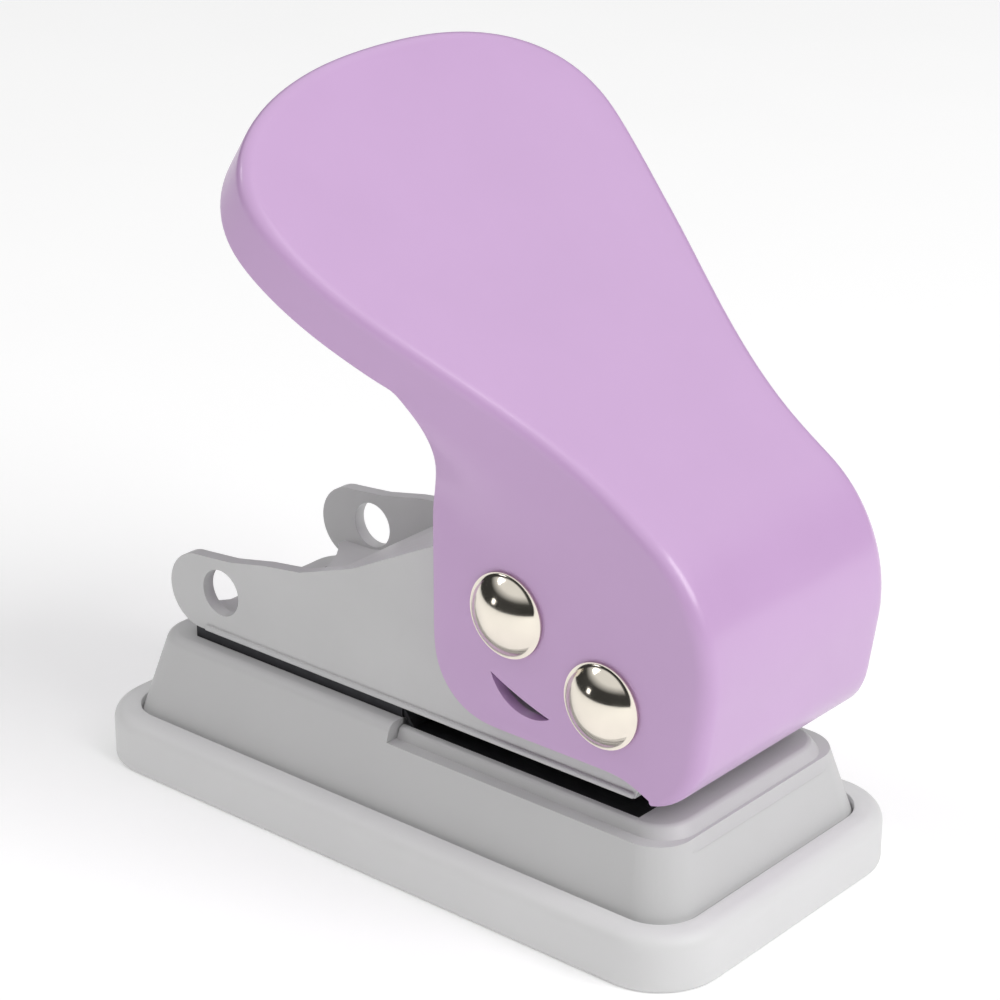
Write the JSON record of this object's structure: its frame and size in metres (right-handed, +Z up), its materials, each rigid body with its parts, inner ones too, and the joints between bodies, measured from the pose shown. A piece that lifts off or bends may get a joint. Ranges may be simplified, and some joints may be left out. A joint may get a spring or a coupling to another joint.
{
  "type": "single-hole paper punch",
  "caption": "Small single-hole desk paper punch: plastic base with a pull-off chip tray, folded frame with two holed ears, and a flared sheet-metal lever on a pivot pin.",
  "frame": {"origin": "centre of the chip tray's underside, on the surface the punch stands on", "axes": "+X along the base towards the pivot end, where paper goes in; +Y across the base; +Z up"},
  "size_m": [0.066, 0.0438, 0.0661],
  "materials": {
    "lilac_paint": "gloss lilac enamel",
    "frame_paint": "satin light grey enamel",
    "base_plastic": "satin moulded",
    "tray_plastic": "satin moulded, slightly flexible",
    "dark_steel": "black oxide",
    "steel": "ground",
    "plated": "polished nickel",
    "brass": "machined",
    "nylon": "natural nylon"
  },
  "bodies": {
    "stand": {"base_housing": "base_plastic", "die_plate": "dark_steel", "guide_plate": "frame_paint", "guide_bush": "brass", "frame": "frame_paint", "frame_rivets": "steel", "base_screws": "steel", "spring_seat": "steel", "return_spring": "steel"},
    "tray": {"chip_tray": "tray_plastic"},
    "lever": {"lever": "lilac_paint", "pivot_pin": "plated", "pivot_cap": "plated", "pivot_washers": "nylon", "drive_pin": "plated", "drive_cap": "plated", "drive_washers": "nylon", "drive_sleeve": "steel"},
    "punch": {"punch_pin": "steel", "retaining_ring": "dark_steel", "spring_cap": "steel"}
  },
  "joints": [
    {"name": "lever_press", "type": "hinge", "parent": "stand", "child": "lever", "pos_m": [0.0223, 0, 0.02125], "axis": [0, -1, 0], "range_deg": [0, 22], "stiffness_Nm_per_rad": 0.16, "springref_deg": -21.77},
    {"name": "punch_stroke", "type": "slide", "parent": "stand", "child": "punch", "axis": [0, 0, -1], "range_m": [0, 0.0041], "deforming": ["return_spring"]},
    {"name": "tray_pull", "type": "slide", "parent": "stand", "child": "tray", "axis": [0, 0, -1], "range_m": [0, 0.012]}
  ],
  "couplings": [
    {"joint": "punch_stroke", "follows": "lever_press", "m_per_rad": 0.01034}
  ]
}
